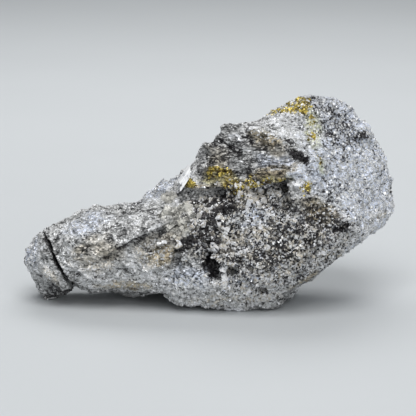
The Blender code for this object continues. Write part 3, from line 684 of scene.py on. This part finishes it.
class Ground:
    """The faces of the skin, for setting small things on."""

    def __init__(self):
        mesh = bpy.data.objects["ore_skin"].data
        self.corner = rows(mesh.polygons, "vertices").astype(int)
        self.centre = rows(mesh.polygons, "center")
        self.normal = rows(mesh.polygons, "normal")
        self.mesh = mesh
        distance, _ = near_line(self.centre / MM, LONG_CRACK)
        self.free = (distance > CRACK_CLEAR) | (self.centre[:, 1] > 0.0)
        self.free &= self.centre[:, 2] > FLOOR_CLEAR

    def share(self, name):
        """One attribute of the skin, at each face."""
        values = np.empty(len(self.mesh.vertices), dtype=np.float32)
        self.mesh.attributes[name].data.foreach_get("value", values)
        return values[self.corner].mean(axis=1)

    def pick(self, chosen, gap, rng):
        """Faces about gap millimetres apart, where chosen is the chance of each face, 0 to 1."""
        order = rng.permutation(len(self.centre))
        order = order[rng.random(len(order)) < (chosen * self.free)[order]]
        cells = np.floor(self.centre[order] / (gap * MM))
        _, first = np.unique(cells, axis=0, return_index=True)
        return order[np.sort(first)]


def random_turn(rng):
    """A turn about a random axis."""
    axis = Vector(rng.normal(size=3)).normalized()
    return Matrix.Rotation(rng.uniform(0.0, math.tau), 4, axis)


def leaning_turn(rng, normal, lean, spin):
    """A turn that stands +Z near the normal, within about lean, and spins about it. On the front
    an angle of 0 leaves +X level, and a larger one raises it."""
    target = (Vector(normal) + lean * Vector(rng.normal(size=3))).normalized()
    return target.to_track_quat("Z", "Y").to_matrix().to_4x4() @ Matrix.Rotation(
        rng.uniform(*spin), 4, "Z")


def cut_flat(bm, point, normal):
    """Cuts away all that lies beyond a plane and closes the cut."""
    bmesh.ops.bisect_plane(
        bm, geom=bm.verts[:] + bm.edges[:] + bm.faces[:], plane_co=point, plane_no=normal,
        clear_outer=True)
    bmesh.ops.holes_fill(bm, edges=[edge for edge in bm.edges if edge.is_boundary])


def chip(rng, cuts=4):
    """An angular grain about one unit across: a block cut by random planes."""
    bm = bmesh.new()
    bmesh.ops.create_cube(bm, size=1.0)
    bmesh.ops.scale(bm, vec=rng.uniform(0.6, 1.0, 3), verts=bm.verts)
    for _ in range(cuts):
        away = Vector(rng.normal(size=3)).normalized()
        cut_flat(bm, away * rng.uniform(0.26, 0.42), away)
    return bm


def flake(rng):
    """A thin broken piece."""
    bm = chip(rng, 5)
    bmesh.ops.scale(bm, vec=(1.3, 0.9, 0.5), verts=bm.verts)
    return bm


def splinter(rng):
    """A thin piece drawn out along X."""
    bm = chip(rng, 5)
    bmesh.ops.scale(bm, vec=(1.7, 0.8, 0.45), verts=bm.verts)
    return bm


def octahedron(rng):
    """A double pyramid cut by two random planes."""
    bm = bmesh.new()
    bmesh.ops.create_uvsphere(bm, u_segments=4, v_segments=2, radius=0.6)
    bmesh.ops.scale(bm, vec=rng.uniform(0.8, 1.1, 3), verts=bm.verts)
    for _ in range(2):
        away = Vector(rng.normal(size=3)).normalized()
        cut_flat(bm, away * rng.uniform(0.3, 0.42), away)
    return bm


def cornered_cube(rng):
    """A cube whose corners an octahedron takes off."""
    bm = bmesh.new()
    bmesh.ops.create_cube(bm, size=0.85)
    bmesh.ops.bevel(
        bm, geom=bm.verts[:], offset=rng.uniform(0.14, 0.3), affect="VERTICES", segments=1,
        profile=0.5, material=-1)
    return bm


CALCITE_SHEAR = 0.26


def rhomb(rng):
    """A cleavage block of calcite: a leaning slab with smaller ones stepped on it."""
    bm = bmesh.new()
    for step in range(3):
        made = bmesh.ops.create_cube(bm, size=1.0)
        size = Vector((1.0 - 0.27 * step * rng.random(), 0.75 - 0.2 * step * rng.random(), 0.26))
        bmesh.ops.scale(bm, vec=size, verts=made["verts"])
        bmesh.ops.translate(
            bm, verts=made["verts"],
            vec=((1.0 - size.x) / 2.2, (0.75 - size.y) / 2.2, 0.24 * step - 0.2))
    shear = Matrix.Shear("XY", 4, (CALCITE_SHEAR, CALCITE_SHEAR))
    bmesh.ops.transform(bm, matrix=shear, verts=bm.verts)
    return bm


def hidden_by(share, amount):
    """What is left where a mineral hides this amount of what lies below it."""
    return 1.0 - amount * share


def moulds(shape, count, rng):
    """A few shapes of one kind, as meshes."""
    made = []
    for _ in range(count):
        bm = shape(rng)
        bmesh.ops.recalc_face_normals(bm, faces=bm.faces)
        mesh = bpy.data.meshes.new("mould")
        bm.to_mesh(mesh)
        bm.free()
        made.append(mesh)
    return made


def joined(name, placed):
    """One mesh of many copies. placed holds a mould and a matrix for each copy."""
    bm = bmesh.new()
    for mould, matrix in placed:
        before = len(bm.verts)
        bm.from_mesh(mould)
        bm.verts.ensure_lookup_table()
        for vert in bm.verts[before:]:
            vert.co = matrix @ vert.co
    return object_of(bm, name)


def scattered(ground, faces, shapes, sizes, sunk, lean, rng, spin=(0.0, math.tau)):
    """(mould, matrix) for a copy on each of the faces. sizes are the least and the most, and each
    copy is sunk by that share of its size. lean is None where copies lie any way round."""
    placed = []
    for face in faces:
        size = MM * math.exp(rng.uniform(math.log(sizes[0]), math.log(sizes[1])))
        normal = ground.normal[face]
        turn = random_turn(rng) if lean is None else leaning_turn(rng, normal, lean, spin)
        spot = Vector(ground.centre[face] - sunk * size * normal)
        placed.append((shapes[rng.integers(len(shapes))],
                       Matrix.Translation(spot) @ turn @ Matrix.Scale(size, 4)))
    return placed


def set_by_hand(blocks, shapes, rng):
    """(mould, matrix) for each of the blocks: its place, its size and its turns."""
    placed = []
    for place, size, turn in blocks:
        matrix = Matrix.Translation(Vector(place) * MM)
        for axis, angle in zip("ZYX", reversed(turn)):
            matrix = matrix @ Matrix.Rotation(math.radians(angle), 4, axis)
        matrix = matrix @ Matrix.Diagonal(Vector(size) * MM).to_4x4()
        placed.append((shapes[rng.integers(len(shapes))], matrix))
    return placed


class SetsPieces:
    """What the steps that set small pieces share: a seed, and the skin to set them on."""

    def execute(self, context):
        self.set_pieces(Ground(), np.random.default_rng(self.seed), settings()[1])
        return {"FINISHED"}


class SetPaleGrains(SetsPieces, bpy.types.Operator):
    """Sets pale carbonate grains in the crystalline part of the lump"""
    bl_idname = "specimen.pale_grains"
    bl_label = "Pale grains"
    seed = 5

    def set_pieces(self, ground, rng, colours):
        share = ground.share
        shapes = moulds(chip, 14, rng)
        area = 0.15 * share("crystalline") + 0.85 * share("pale")
        area = np.maximum(area, 0.9 * share("cream")) * hidden_by(share("dark"), 0.8)
        area *= hidden_by(share("shards"), 0.65)
        small = ground.pick(0.2 * area, 0.55, rng)
        large = ground.pick(0.025 * area * hidden_by(share("shade"), 0.8), 1.3, rng)
        placed = scattered(ground, small, shapes, (0.35, 0.75), 0.15, None, rng)
        placed += scattered(ground, large, shapes, (0.9, 1.8), 0.28, None, rng)
        flakes = moulds(flake, 8, rng)
        bare = hidden_by(share("dark"), 1.0)
        broken = ground.pick(0.045 * share("shards") * bare, 1.6, rng)
        placed += scattered(ground, broken, flakes, (1.2, 3.0), 0.1, 0.45, rng)
        finish_piece(joined("pale_grains", placed), pale_material(colours))


class SetDarkCrystals(SetsPieces, bpy.types.Operator):
    """Lines the cavities and dark patches with dark crystals"""
    bl_idname = "specimen.dark_crystals"
    bl_label = "Dark crystals"
    seed = 9

    def set_pieces(self, ground, rng, colours):
        share = ground.share
        shapes = moulds(octahedron, 6, rng) + moulds(cornered_cube, 5, rng)
        # Where the dark and pit shares are painted shade, in hollows and cracks, these crystals set
        # dark pieces into that shade.
        area = np.maximum.reduce([
            share("dark"), share("pit"), 0.35 * share("crystalline"), 0.1 * share("pitted")])
        faces = ground.pick(0.4 * area, 0.65, rng)
        placed = scattered(ground, faces, shapes, (0.35, 0.95), 0.15, None, rng)
        finish_piece(joined("dark_crystals", placed), dark_material(colours))


class SetSilverCrystals(SetsPieces, bpy.types.Operator):
    """Sets bright crystals of the ore in its granular parts"""
    bl_idname = "specimen.silver_crystals"
    bl_label = "Silver crystals"
    seed = 13
    # They are joined in two pieces, from the least to the most X in millimetres.
    parts = (("silver_crystals_tail", -100.0, 22.0), ("silver_crystals_head", 22.0, 100.0))

    def set_pieces(self, ground, rng, colours):
        share = ground.share
        shapes = moulds(chip, 8, rng) + moulds(cornered_cube, 4, rng)
        area = np.maximum.reduce([
            share("silver"), 0.45 * share("granular"), 0.3 * share("crystalline")])
        area *= hidden_by(share("dark"), 0.85) * hidden_by(share("pit"), 0.85)
        faces = ground.pick(0.26 * area, 0.8, rng)
        coarse = ground.pick(0.07 * share("crust"), 1.2, rng)
        hackly = np.maximum(share("granular"), share("crystalline"))[faces] < 0.5
        splinters = moulds(splinter, 10, rng)
        placed = scattered(ground, faces[~hackly], shapes, (0.4, 1.1), 0.25, None, rng)
        placed += scattered(
            ground, faces[hackly], splinters, (0.6, 1.5), 0.2, 0.35, rng, SPLINTER_SPIN)
        placed += scattered(ground, coarse, shapes, (0.7, 1.3), 0.15, None, rng)
        material = silver_material(colours)
        for name, low, high in self.parts:
            part = [copy for copy in placed if low * MM <= copy[1].translation.x < high * MM]
            finish_piece(joined(name, part), material)


class SetCalcite(SetsPieces, bpy.types.Operator):
    """Sets cleavage blocks of calcite in the hollow between tail and head, and white ones"""
    bl_idname = "specimen.calcite"
    bl_label = "Calcite"
    seed = 21

    def set_pieces(self, ground, rng, colours):
        shapes = moulds(rhomb, 8, rng)
        faces = ground.pick(0.08 * ground.share("calcite"), 1.7, rng)
        placed = scattered(ground, faces, shapes, (1.2, 2.6), 0.15, 0.5, rng)
        piece = joined("calcite_blocks", placed + set_by_hand(CALCITE_BLOCKS, shapes, rng))
        finish_piece(piece, calcite_material("cleaved calcite", colours.calcite))
        piece = joined("white_calcite", set_by_hand(WHITE_BLOCKS, shapes, rng))
        finish_piece(piece, calcite_material("white calcite", colours.silver))


class SetChalcopyrite(SetsPieces, bpy.types.Operator):
    """Sets hackly chalcopyrite in its patches"""
    bl_idname = "specimen.chalcopyrite"
    bl_label = "Chalcopyrite"
    seed = 33

    def set_pieces(self, ground, rng, colours):
        shapes = moulds(chip, 10, rng)
        area = ground.share("gold") * hidden_by(ground.share("olive"), 0.6)
        faces = ground.pick(0.2 * area, 0.9, rng)
        placed = scattered(ground, faces, shapes, (0.5, 1.7), 0.3, None, rng)
        finish_piece(joined("chalcopyrite", placed), gold_material(colours))


# ---------------------------------------------------------------- materials
# Two ways to draw out the ore's patterns: the scale along X, Y and Z, and the turn about Y in
# degrees that follows it and shows another part of the pattern.
FLOWING = ((0.55, 0.7, 1.0), 22.0)
SHEETED = ((0.34, 0.5, 1.6), 10.0)
# The widths of grains and seams in the materials.
FINE_GRAIN = 0.55
COARSE_GRAIN = 1.1
FACET = 2.1
SMALL_SEAM = 1.3
LARGE_SEAM = 3.4
CRYSTAL_GRAIN = 0.3
CLEAVED_FACE = 2.4
CLEAVED_SEAM = 1.5
# The ore's tone before its minerals lift or lower it.
MIDDLE_TONE = 0.56
# How much each mineral lifts or lowers the ore's tone. Where dark and pit lie in hollows, notches and
# cracks, their lowering is partly painted shade.
ORE_TONES = {
    "silver": 0.22, "pale": 0.14, "granular": 0.1, "crust": 0.02, "shade": -0.19,
    "crystalline": -0.33, "shards": -0.38, "dark": -0.5, "pit": -0.75,
}
BLUE_TINT = (0.91, 0.962, 1.08)
WARM_TINT = (1.07, 1.0, 0.88)
COOL_TINT = (0.96, 0.99, 1.05)
GILT_SHADE = (0.07, 0.045, 0.02)


class Nodes:
    """Short hands for making and joining the nodes of one tree."""

    def __init__(self, tree):
        self.tree = tree

    def add(self, kind, *inputs, **options):
        """A new node. Each input is a value or a socket, for the node's sockets in order, and
        None leaves one alone. Each option is a setting of the node."""
        node = self.tree.nodes.new(kind)
        for name, value in options.items():
            setattr(node, name, value)
        for socket, value in zip(node.inputs, inputs):
            self.feed(socket, value)
        return node

    def feed(self, socket, value):
        if isinstance(value, bpy.types.NodeSocket):
            self.tree.links.new(value, socket)
        elif value is not None:
            socket.default_value = value

    def maths(self, operation, *inputs):
        return self.add("ShaderNodeMath", *inputs, operation=operation).outputs[0]

    def product(self, first, second):
        return self.maths("MULTIPLY", first, second)

    def largest(self, first, second):
        return self.maths("MAXIMUM", first, second)

    def plus(self, value, amount, total):
        """The total with this amount of the value."""
        return self.maths("MULTIPLY_ADD", value, amount, total)

    def centred(self, value):
        return self.maths("SUBTRACT", value, 0.5)

    def vectors(self, operation, *inputs):
        return self.add("ShaderNodeVectorMath", *inputs, operation=operation).outputs[0]

    def scaled(self, vector, size):
        node = self.add("ShaderNodeVectorMath", vector, operation="SCALE")
        self.feed(node.inputs["Scale"], size)
        return node.outputs[0]

    def noise(self, position, scale, detail=3.0, roughness=0.6, output="Fac"):
        return self.add(
            "ShaderNodeTexNoise", position, None, scale, detail, roughness).outputs[output]

    def blend(self, factor, first, second):
        """Between two numbers."""
        node = self.add("ShaderNodeMix", factor, data_type="FLOAT", clamp_factor=True)
        self.feed(node.inputs[2], first)
        self.feed(node.inputs[3], second)
        return node.outputs[0]

    def tint(self, factor, first, second, how="MIX"):
        """Between two colours. The second is a socket or three numbers."""
        node = self.add("ShaderNodeMix", factor, data_type="RGBA", blend_type=how)
        fixed = not isinstance(second, bpy.types.NodeSocket)
        self.feed(node.inputs[6], first)
        self.feed(node.inputs[7], (*second, 1.0) if fixed else second)
        return node.outputs[2]

    def steps(self, value, low, high, first=0.0, last=1.0):
        """A smooth rise from first to last as the value goes from low to high."""
        node = self.add("ShaderNodeMapRange", value, low, high, first, last)
        node.interpolation_type = "SMOOTHSTEP"
        return node.outputs[0]

    def share(self, name):
        return self.add("ShaderNodeAttribute", attribute_name=name).outputs["Fac"]

    def ramp(self, value, stops):
        """A colour ramp of (place, colour)."""
        node = self.add("ShaderNodeValToRGB", value)
        elements = node.color_ramp.elements
        while len(elements) < len(stops):
            elements.new(0.5)
        for element, (place, colour) in zip(elements, stops):
            element.position = place
            element.color = (*colour, 1.0)
        return node.outputs[0]


def group(name, inputs, outputs, build):
    """A shader node group, made once. build gets its nodes, its inputs and its output node."""
    tree = bpy.data.node_groups.get(name)
    if tree is None:
        tree = bpy.data.node_groups.new(name, "ShaderNodeTree")
        for label, kind in inputs:
            tree.interface.new_socket(label, in_out="INPUT", socket_type="NodeSocket" + kind)
        for label, kind in outputs:
            tree.interface.new_socket(label, in_out="OUTPUT", socket_type="NodeSocket" + kind)
        nodes = Nodes(tree)
        entry = nodes.add("NodeGroupInput").outputs
        build(nodes, entry, nodes.add("NodeGroupOutput").inputs)
    return tree


def wandering(nodes, entry, swell, reach):
    """The place in units of the pattern's size, and the same pushed about by noise."""
    place = nodes.scaled(entry["Position"], nodes.maths("DIVIDE", 1.0, entry["Size"]))
    wander = nodes.noise(place, swell, 2.0, 0.6, "Color")
    bend = nodes.scaled(nodes.vectors("SUBTRACT", wander, (0.5, 0.5, 0.5)), reach)
    return place, nodes.vectors("ADD", place, bend)


def build_grains(nodes, entry, exits):
    _, bent = wandering(nodes, entry, 0.9, 1.6)
    cells = nodes.add("ShaderNodeTexVoronoi", bent, None, 1.0).outputs["Color"]
    middle = nodes.vectors("SUBTRACT", cells, (0.5, 0.5, 0.5))
    parts = nodes.add("ShaderNodeSeparateColor", cells).outputs
    nodes.feed(exits["Tone"], parts[0])
    nodes.feed(exits["Chance"], parts[1])
    nodes.feed(exits["Lean"], nodes.scaled(middle, entry["Tilt"]))


def from_group(nodes, tree, *inputs):
    return nodes.add("ShaderNodeGroup", *inputs, node_tree=tree).outputs


def grains(nodes, position, size, tilt):
    """Outputs of the grain pattern: Tone and Chance, two random numbers for each grain, and
    Lean, which is added to the normal so that each grain catches the light in its own way."""
    tree = group(
        "mineral grains", [("Position", "Vector"), ("Size", "Float"), ("Tilt", "Float")],
        [("Tone", "Float"), ("Chance", "Float"), ("Lean", "Vector")], build_grains)
    return from_group(nodes, tree, position, size * MM, tilt)


def build_seams(nodes, entry, exits):
    place, bent = wandering(nodes, entry, 1.2, 1.1)
    edge = nodes.add(
        "ShaderNodeTexVoronoi", bent, None, 1.0, feature="DISTANCE_TO_EDGE").outputs["Distance"]
    here = nodes.steps(nodes.noise(place, 0.7, 2.0, 0.5), 0.42, 0.54)
    beside = nodes.product(nodes.steps(edge, 0.09, 0.15), nodes.steps(edge, 0.17, 0.27, 1.0, 0.0))
    nodes.feed(exits["Gap"], nodes.product(here, nodes.steps(edge, 0.03, 0.13, 1.0, 0.0)))
    # The bright edge beside each gap is a painted highlight.
    nodes.feed(exits["Rim"], nodes.product(here, beside))


def seams(nodes, position, size):
    """Outputs of the seam pattern, 0 to 1: Gap, the dark lines where some grains part, and the bright
    edge beside them, which is a painted highlight."""
    tree = group(
        "grain seams", [("Position", "Vector"), ("Size", "Float")],
        [("Gap", "Float"), ("Rim", "Float")], build_seams)
    return from_group(nodes, tree, position, size * MM)


def leaning_normal(nodes, *leans):
    total = nodes.add("ShaderNodeNewGeometry").outputs["Normal"]
    for lean in leans:
        total = nodes.vectors("ADD", total, lean)
    return nodes.vectors("NORMALIZE", total)


def new_material(name):
    material = bpy.data.materials.new(name)
    material.use_nodes = True
    nodes = Nodes(material.node_tree)
    shader = material.node_tree.nodes["Principled BSDF"]
    place = nodes.add("ShaderNodeTexCoord").outputs["Object"]
    return material, nodes, shader.inputs, place


def times(colour, factor):
    return tuple(min(1.0, factor * part) for part in colour)


def drawn_out(nodes, place, scale, turn):
    """The place for a pattern that is drawn out."""
    turns = (0.0, math.radians(turn), 0.0)
    return nodes.add("ShaderNodeMapping", place, None, turns, scale).outputs[0]


def ore_tone(nodes, place, flowing, fine, coarse, facets, cloud):
    """How bright the ore is, about 0 to 1. Its grains make the tone, and then minerals and seams lift
    or lower it. Painted shade lowers it in the grooves and hollows of the carving, painted light lifts
    what stands proud, and painted highlights run beside the seams."""
    share, plus, steps = nodes.share, nodes.plus, nodes.steps
    layered, crystalline, granular = share("layered"), share("crystalline"), share("granular")
    sheets = grains(nodes, drawn_out(nodes, place, *SHEETED), FINE_GRAIN, 0.7)
    grain = nodes.blend(0.45, fine["Tone"], coarse["Tone"])
    grain = nodes.blend(nodes.product(layered, 0.75), grain, sheets["Tone"])
    gain = nodes.blend(granular, nodes.blend(crystalline, 0.8, 1.4), 1.15)
    gain = plus(share("crust"), 0.9, gain)
    tone = plus(nodes.centred(grain), gain, MIDDLE_TONE)
    tone = plus(nodes.centred(cloud), nodes.blend(layered, 0.28, 0.15), tone)
    tone = plus(nodes.centred(nodes.noise(flowing, 700.0)), 0.22, tone)
    tone = plus(nodes.centred(facets["Tone"]), 0.12, tone)
    for name, amount in ORE_TONES.items():
        tone = plus(share(name), amount, tone)
    sparks = nodes.product(
        steps(fine["Chance"], 0.66, 0.7), nodes.largest(crystalline, share("dark")))
    edges = nodes.product(share("streak"), steps(sheets["Chance"], 0.35, 0.45))
    blotches = nodes.product(share("pitted"), steps(nodes.noise(flowing, 620.0), 0.51, 0.59))
    pores = nodes.product(
        steps(nodes.noise(flowing, 1150.0, 2.0, 0.5), 0.57, 0.62), nodes.blend(granular, 0.1, 0.6))
    small, large = seams(nodes, flowing, SMALL_SEAM), seams(nodes, flowing, LARGE_SEAM)
    # Among these, the bright edge beside each seam is a painted highlight.
    for pattern, amount in (
            (sparks, 0.48), (edges, 0.45), (blotches, -0.2), (pores, -0.5),
            (small["Gap"], nodes.blend(granular, -0.3, -0.4)), (small["Rim"], 0.17),
            (large["Gap"], -0.16), (large["Rim"], 0.1)):
        tone = plus(pattern, amount, tone)
    # Painted shade and light: the tone falls in the grooves and hollows of the carved skin and rises a
    # little on what stands proud.
    return nodes.maths("ADD", tone, steps(share("relief"), -1.0, 0.6, -0.22, 0.07))


def stained(nodes, colours, tone, coarse, cloud):
    """The colour of the ore at its tone, with the stains and the pale minerals over it."""
    share, product = nodes.share, nodes.product
    colour = nodes.ramp(tone, [
        (0.0, colours.dark), (0.22, times(colours.ore, 0.3)), (0.5, colours.ore),
        (0.75, times(colours.ore, 1.45)), (1.0, colours.silver)])
    mixed = nodes.ramp(coarse["Chance"], [(0.3, WARM_TINT), (0.7, COOL_TINT)])
    cream = nodes.ramp(tone, [
        (0.05, times(colours.cream, 0.3)), (0.35, colours.cream), (0.8, times(colours.cream, 1.3))])
    white = nodes.ramp(tone, [
        (0.1, times(colours.silver, 0.3)), (0.45, times(colours.silver, 0.8)),
        (0.7, colours.silver)])
    patchy = nodes.steps(cloud, 0.35, 0.65, 0.5, 1.0)
    for amount, over, how in (
            (share("crystalline"), mixed, "MULTIPLY"), (share("blue"), BLUE_TINT, "MULTIPLY"),
            (product(share("tan"), patchy), colours.tan, "MULTIPLY"),
            (product(share("cream"), patchy), cream, "MIX"),
            (product(share("calcite"), 0.4), colours.calcite, "MIX"),
            (product(share("white"), 0.9), white, "MIX"),
            (share("olive"), colours.olive, "MULTIPLY"),
            (share("rust"), colours.rust, "MULTIPLY")):
        colour = nodes.tint(amount, colour, over, how)
    return colour


def ore_material(colours):
    """Broken ore: bright and dark grains, with the stains and minerals spread on it."""
    material, nodes, shader, place = new_material("broken ore")
    flowing = drawn_out(nodes, place, *FLOWING)
    fine = grains(nodes, place, FINE_GRAIN, 0.85)
    coarse = grains(nodes, flowing, COARSE_GRAIN, 0.5)
    facets = grains(nodes, flowing, FACET, 0.55)
    cloud = nodes.noise(place, 220.0)
    tone = ore_tone(nodes, place, flowing, fine, coarse, facets, cloud)
    gold = nodes.share("gold")
    speckle = nodes.plus(nodes.share("olive"), -0.3, nodes.maths("ADD", coarse["Chance"], gold))
    gilded = nodes.product(gold, nodes.steps(speckle, 0.95, 1.15))
    gilt = nodes.ramp(tone, gold_stops(colours))
    sugary = nodes.largest(nodes.share("granular"), nodes.share("crystalline"))
    nodes.feed(shader["Base Color"], nodes.tint(
        gilded, stained(nodes, colours, tone, coarse, cloud), gilt))
    nodes.feed(shader["Metallic"], nodes.largest(
        nodes.product(gilded, 0.75), nodes.blend(sugary, 0.35, 0.05)))
    nodes.feed(shader["Roughness"], nodes.steps(fine["Chance"], 0.0, 1.0, 0.28, 0.6))
    nodes.feed(shader["Normal"], leaning_normal(
        nodes, fine["Lean"], coarse["Lean"], facets["Lean"]))
    return material


def gold_stops(colours):
    return [
        (0.15, GILT_SHADE), (0.45, times(colours.gold, 0.55)), (0.7, colours.gold),
        (0.95, times(colours.gold, 1.6))]


def speckled_material(name, stops, size, metallic, roughness, tilt):
    """Small grains of one mineral: each takes its tone from its place."""
    material, nodes, shader, place = new_material(name)
    coarse = grains(nodes, place, size, 0.3)
    fine = grains(nodes, place, CRYSTAL_GRAIN, tilt)
    tone = nodes.blend(0.4, coarse["Tone"], fine["Tone"])
    nodes.feed(shader["Base Color"], nodes.ramp(tone, stops))
    shader["Metallic"].default_value = metallic
    nodes.feed(shader["Roughness"], nodes.steps(fine["Chance"], 0.0, 1.0, *roughness))
    nodes.feed(shader["Normal"], leaning_normal(nodes, fine["Lean"]))
    return material


def pale_material(colours):
    stops = [
        (0.1, times(colours.cream, 0.35)), (0.4, colours.cream),
        (0.6, times(colours.silver, 0.75)), (0.9, colours.silver)]
    return speckled_material("carbonate grains", stops, 1.3, 0.0, (0.3, 0.6), 0.4)


def dark_material(colours):
    stops = [
        (0.0, times(colours.dark, 0.5)), (0.55, times(colours.dark, 2.0)),
        (1.0, times(colours.ore, 0.5))]
    return speckled_material("dark crystals", stops, 0.9, 0.6, (0.12, 0.4), 0.4)


def silver_material(colours):
    stops = [(0.0, times(colours.ore, 0.5)), (0.5, times(colours.ore, 1.5)), (0.9, colours.silver)]
    return speckled_material("ore crystals", stops, 1.1, 0.4, (0.25, 0.55), 0.5)


def gold_material(colours):
    return speckled_material(
        "chalcopyrite grains", gold_stops(colours), 1.0, 0.8, (0.2, 0.5), 0.7)


def calcite_material(name, colour):
    """Calcite with cleavage lines."""
    material, nodes, shader, place = new_material(name)
    broad = grains(nodes, place, CLEAVED_FACE, 0.12)
    parted = seams(nodes, place, CLEAVED_SEAM)
    tone = nodes.blend(0.5, broad["Tone"], nodes.noise(place, 600.0, 4.0))
    tone = nodes.plus(parted["Gap"], -0.25, tone)
    # Painted highlight beside the cleavage lines.
    tone = nodes.plus(parted["Rim"], 0.15, tone)
    nodes.feed(shader["Base Color"], nodes.ramp(tone, [
        (0.2, times(colour, 0.25)), (0.5, colour), (0.75, times(colour, 1.4))]))
    lines = nodes.add("ShaderNodeTexWave", nodes.vectors("ADD", place, broad["Lean"]), 900.0, 3.0)
    nodes.feed(shader["Normal"], nodes.add(
        "ShaderNodeBump", 0.25, 0.0002, None, lines.outputs["Fac"]).outputs[0])
    shader["Roughness"].default_value = 0.4
    return material


# ---------------------------------------------------------------- the stage
def soft_light(name, place, aim, side, power):
    """A square soft light that faces the point it is aimed at."""
    light = bpy.data.lights.new(name, "AREA")
    light.size = side
    light.energy = power
    lamp = bpy.data.objects.new(name, light)
    lamp.location = place
    lamp.rotation_euler = (Vector(aim) - Vector(place)).to_track_quat("-Z", "Y").to_euler()
    bpy.context.scene.collection.objects.link(lamp)


def table_material(colour):
    material, nodes, shader, place = new_material("matt table")
    mottle = nodes.noise(place, 9.0, 2.0, 0.5)
    nodes.feed(shader["Base Color"], nodes.ramp(mottle, [
        (0.3, times(colour, 0.99)), (0.7, times(colour, 1.01))]))
    shader["Roughness"].default_value = 0.6
    shader["Specular IOR Level"].default_value = 0.25
    return material


def camera_eye(stage):
    """The camera, which looks at the lump from the front and a little above."""
    camera = bpy.data.cameras.new("camera")
    camera.sensor_width = SENSOR
    camera.lens = SENSOR * stage.distance / stage.width
    camera.clip_start = CAMERA_NEAR
    eye = bpy.data.objects.new("camera", camera)
    away = Vector((0.0, -math.cos(stage.elevation), math.sin(stage.elevation)))
    eye.location = Vector(CAMERA_TARGET) + stage.distance * away
    eye.rotation_euler = (math.pi / 2.0 - stage.elevation, 0.0, 0.0)
    bpy.context.scene.collection.objects.link(eye)
    return eye


class MakeStage(bpy.types.Operator):
    """Makes the floor, the lights and the camera"""
    bl_idname = "specimen.stage"
    bl_label = "Stage"

    def execute(self, context):
        scene = context.scene
        stage = scene.specimen_stage
        bm = bmesh.new()
        bmesh.ops.create_grid(bm, x_segments=1, y_segments=1, size=FLOOR_REACH)
        floor = object_of(bm, "floor")
        floor.data.materials.append(table_material(stage.floor))
        for name, place, aim, side in LIGHTS:
            soft_light(name + " light", place, aim, side, getattr(stage, name))
        world = bpy.data.worlds.new("studio")
        world.use_nodes = True
        sky = world.node_tree.nodes["Background"].inputs
        sky["Color"].default_value = SKY_COLOUR
        sky["Strength"].default_value = stage.sky
        scene.world = world
        scene.view_settings.view_transform = "Standard"
        scene.camera = camera_eye(stage)
        return {"FINISHED"}


class SpecimenPanel(bpy.types.Panel):
    """Lists the settings and the steps of the specimen"""
    bl_idname = "VIEW3D_PT_specimen"
    bl_label = "Skutterudite specimen"
    bl_space_type = "VIEW_3D"
    bl_region_type = "UI"
    bl_category = "Specimen"

    def draw(self, context):
        for kind in SETTINGS:
            box = self.layout.box()
            values = getattr(context.scene, SETTINGS[kind])
            for name in kind.__annotations__:
                box.prop(values, name)
        for step in STEPS:
            self.layout.operator(step.bl_idname)


SETTINGS = {
    SpecimenSkin: "specimen_skin",
    SpecimenColours: "specimen_colours",
    SpecimenStage: "specimen_stage",
}
STEPS = (
    MakeSkin, SetPaleGrains, SetDarkCrystals, SetSilverCrystals, SetCalcite, SetChalcopyrite,
    MakeStage)


def register():
    for kind in (*SETTINGS, *STEPS, SpecimenPanel):
        bpy.utils.register_class(kind)
    for kind, name in SETTINGS.items():
        setattr(bpy.types.Scene, name, PointerProperty(type=kind))


def unregister():
    for name in SETTINGS.values():
        delattr(bpy.types.Scene, name)
    for kind in reversed((*SETTINGS, *STEPS, SpecimenPanel)):
        bpy.utils.unregister_class(kind)


def main():
    register()
    bpy.ops.specimen.skin()
    bpy.ops.specimen.pale_grains()
    bpy.ops.specimen.dark_crystals()
    bpy.ops.specimen.silver_crystals()
    bpy.ops.specimen.calcite()
    bpy.ops.specimen.chalcopyrite()
    bpy.ops.specimen.stage()


if __name__ == "__main__":
    main()
